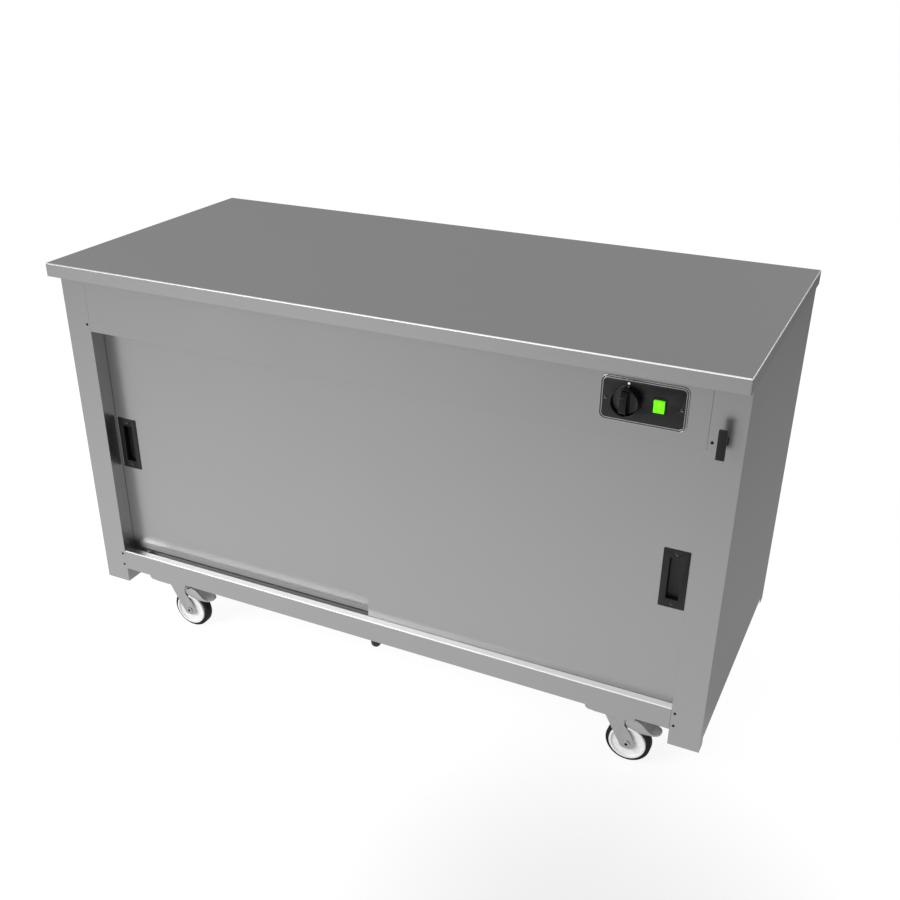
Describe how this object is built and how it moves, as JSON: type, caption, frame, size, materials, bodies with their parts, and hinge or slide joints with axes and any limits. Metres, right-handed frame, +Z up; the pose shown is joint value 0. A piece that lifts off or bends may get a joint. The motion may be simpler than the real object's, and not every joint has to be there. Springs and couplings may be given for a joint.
{
  "type": "mobile hot cupboard",
  "caption": "Stainless-steel mobile hot cupboard on swivel castors, with a plain worktop, bypass sliding doors, flush pulls, a control plate with knob and lit rocker, and a plug hook.",
  "frame": {"origin": "on the floor, under the middle of the worktop", "axes": "+X to the right as seen from the front, +Y to the back, +Z up; the doors and controls face -Y"},
  "size_m": [1.5, 0.684, 0.92],
  "materials": {
    "stainless_worktop": "satin brushed stainless",
    "stainless_panel": "satin stainless sheet",
    "stainless_door": "satin stainless sheet",
    "stainless_liner": "dull stainless sheet",
    "galvanised": "galvanised",
    "zinc": "bright zinc plated",
    "bright_trim": "polished stainless",
    "element_sheath": "oxidised sheath",
    "black_plate": "satin black",
    "black_screw": "black",
    "black_moulding": "moulded, fine grain",
    "black_knob": "moulded, slight gloss",
    "black_nylon": "moulded",
    "black_rubber": "matt",
    "ivory_moulding": "moulded",
    "green_lens": "clear tinted lens, lit",
    "mineral_wool": "felted",
    "white_disc": "moulded",
    "grey_tyre": "matt"
  },
  "bodies": {
    "cabinet": {"worktop": "stainless_worktop", "worktop_stiffeners": "galvanised", "side_panel_left": "stainless_panel", "side_panel_right": "stainless_panel", "back_panel": "stainless_panel", "fascia": "stainless_panel", "bottom_rail": "stainless_panel", "top_track": "stainless_panel", "liner_left": "stainless_liner", "liner_right": "stainless_liner", "liner_back": "stainless_liner", "liner_floor": "stainless_liner", "liner_ceiling": "stainless_liner", "insulation": "mineral_wool", "base_tray": "galvanised", "castor_channels": "galvanised", "shelf": "stainless_liner", "shelf_rails": "stainless_liner", "heating_element": "element_sheath", "element_guard": "stainless_liner", "control_bezel": "bright_trim", "control_plate": "black_plate", "thermostat": "ivory_moulding", "rocker_housing": "black_moulding", "cable_gland": "black_moulding", "terminal_block": "ivory_moulding", "plug_hook": "black_moulding", "panel_screws": "black_screw", "track_stops": "zinc", "track_buffers": "black_rubber", "castor_plates": "zinc", "castor_bolts": "zinc"},
    "left_door": {"left_door_skin": "stainless_door", "left_door_back": "stainless_liner", "left_door_handle": "black_moulding", "left_door_screws": "black_screw", "left_door_hangers": "zinc", "left_door_glides": "black_nylon"},
    "right_door": {"right_door_skin": "stainless_door", "right_door_back": "stainless_liner", "right_door_handle": "black_moulding", "right_door_screws": "black_screw", "right_door_hangers": "zinc", "right_door_glides": "black_nylon"},
    "knob": {"control_knob": "black_knob"},
    "rocker": {"rocker_button": "green_lens"},
    "castor_fl": {"castor_fl_fork": "zinc"},
    "wheel_fl": {"castor_fl_wheel": "white_disc", "castor_fl_tyre": "grey_tyre"},
    "pedal_fl": {"castor_fl_pedal": "zinc"},
    "castor_fr": {"castor_fr_fork": "zinc"},
    "wheel_fr": {"castor_fr_wheel": "white_disc", "castor_fr_tyre": "grey_tyre"},
    "pedal_fr": {"castor_fr_pedal": "zinc"},
    "castor_rl": {"castor_rl_fork": "zinc"},
    "wheel_rl": {"castor_rl_wheel": "white_disc", "castor_rl_tyre": "grey_tyre"},
    "castor_rr": {"castor_rr_fork": "zinc"},
    "wheel_rr": {"castor_rr_wheel": "white_disc", "castor_rr_tyre": "grey_tyre"}
  },
  "joints": [
    {"name": "left_door_slide", "type": "slide", "parent": "cabinet", "child": "left_door", "axis": [1, 0, 0], "range_m": [0, 0.61]},
    {"name": "right_door_slide", "type": "slide", "parent": "cabinet", "child": "right_door", "axis": [1, 0, 0], "range_m": [-0.61, 0]},
    {"name": "knob_turn", "type": "hinge", "parent": "cabinet", "child": "knob", "pos_m": [0.5377, -0.3078, 0.8322], "axis": [0, -1, 0], "range_deg": [0, 270]},
    {"name": "rocker_tilt", "type": "hinge", "parent": "cabinet", "child": "rocker", "pos_m": [0.5947, -0.30505, 0.8302], "axis": [-1, 0, 0], "range_deg": [0, 12]},
    {"name": "castor_fl_swivel", "type": "hinge", "parent": "cabinet", "child": "castor_fl", "pos_m": [-0.564, -0.2515, 0.12], "axis": [0, 0, 1], "continuous": true},
    {"name": "wheel_fl_spin", "type": "hinge", "parent": "castor_fl", "child": "wheel_fl", "pos_m": [-0.534, -0.2515, 0.0485], "axis": [0, 1, 0], "continuous": true},
    {"name": "pedal_fl_press", "type": "hinge", "parent": "castor_fl", "child": "pedal_fl", "pos_m": [-0.551, -0.2515, 0.1054], "axis": [0, 1, 0], "range_deg": [0, 10]},
    {"name": "castor_fr_swivel", "type": "hinge", "parent": "cabinet", "child": "castor_fr", "pos_m": [0.564, -0.2515, 0.12], "axis": [0, 0, 1], "continuous": true},
    {"name": "wheel_fr_spin", "type": "hinge", "parent": "castor_fr", "child": "wheel_fr", "pos_m": [0.594, -0.2515, 0.0485], "axis": [0, 1, 0], "continuous": true},
    {"name": "pedal_fr_press", "type": "hinge", "parent": "castor_fr", "child": "pedal_fr", "pos_m": [0.577, -0.2515, 0.1054], "axis": [0, 1, 0], "range_deg": [0, 10]},
    {"name": "castor_rl_swivel", "type": "hinge", "parent": "cabinet", "child": "castor_rl", "pos_m": [-0.564, 0.2645, 0.12], "axis": [0, 0, 1], "continuous": true},
    {"name": "wheel_rl_spin", "type": "hinge", "parent": "castor_rl", "child": "wheel_rl", "pos_m": [-0.534, 0.2645, 0.0485], "axis": [0, 1, 0], "continuous": true},
    {"name": "castor_rr_swivel", "type": "hinge", "parent": "cabinet", "child": "castor_rr", "pos_m": [0.564, 0.2645, 0.12], "axis": [0, 0, 1], "continuous": true},
    {"name": "wheel_rr_spin", "type": "hinge", "parent": "castor_rr", "child": "wheel_rr", "pos_m": [0.594, 0.2645, 0.0485], "axis": [0, 1, 0], "continuous": true}
  ]
}
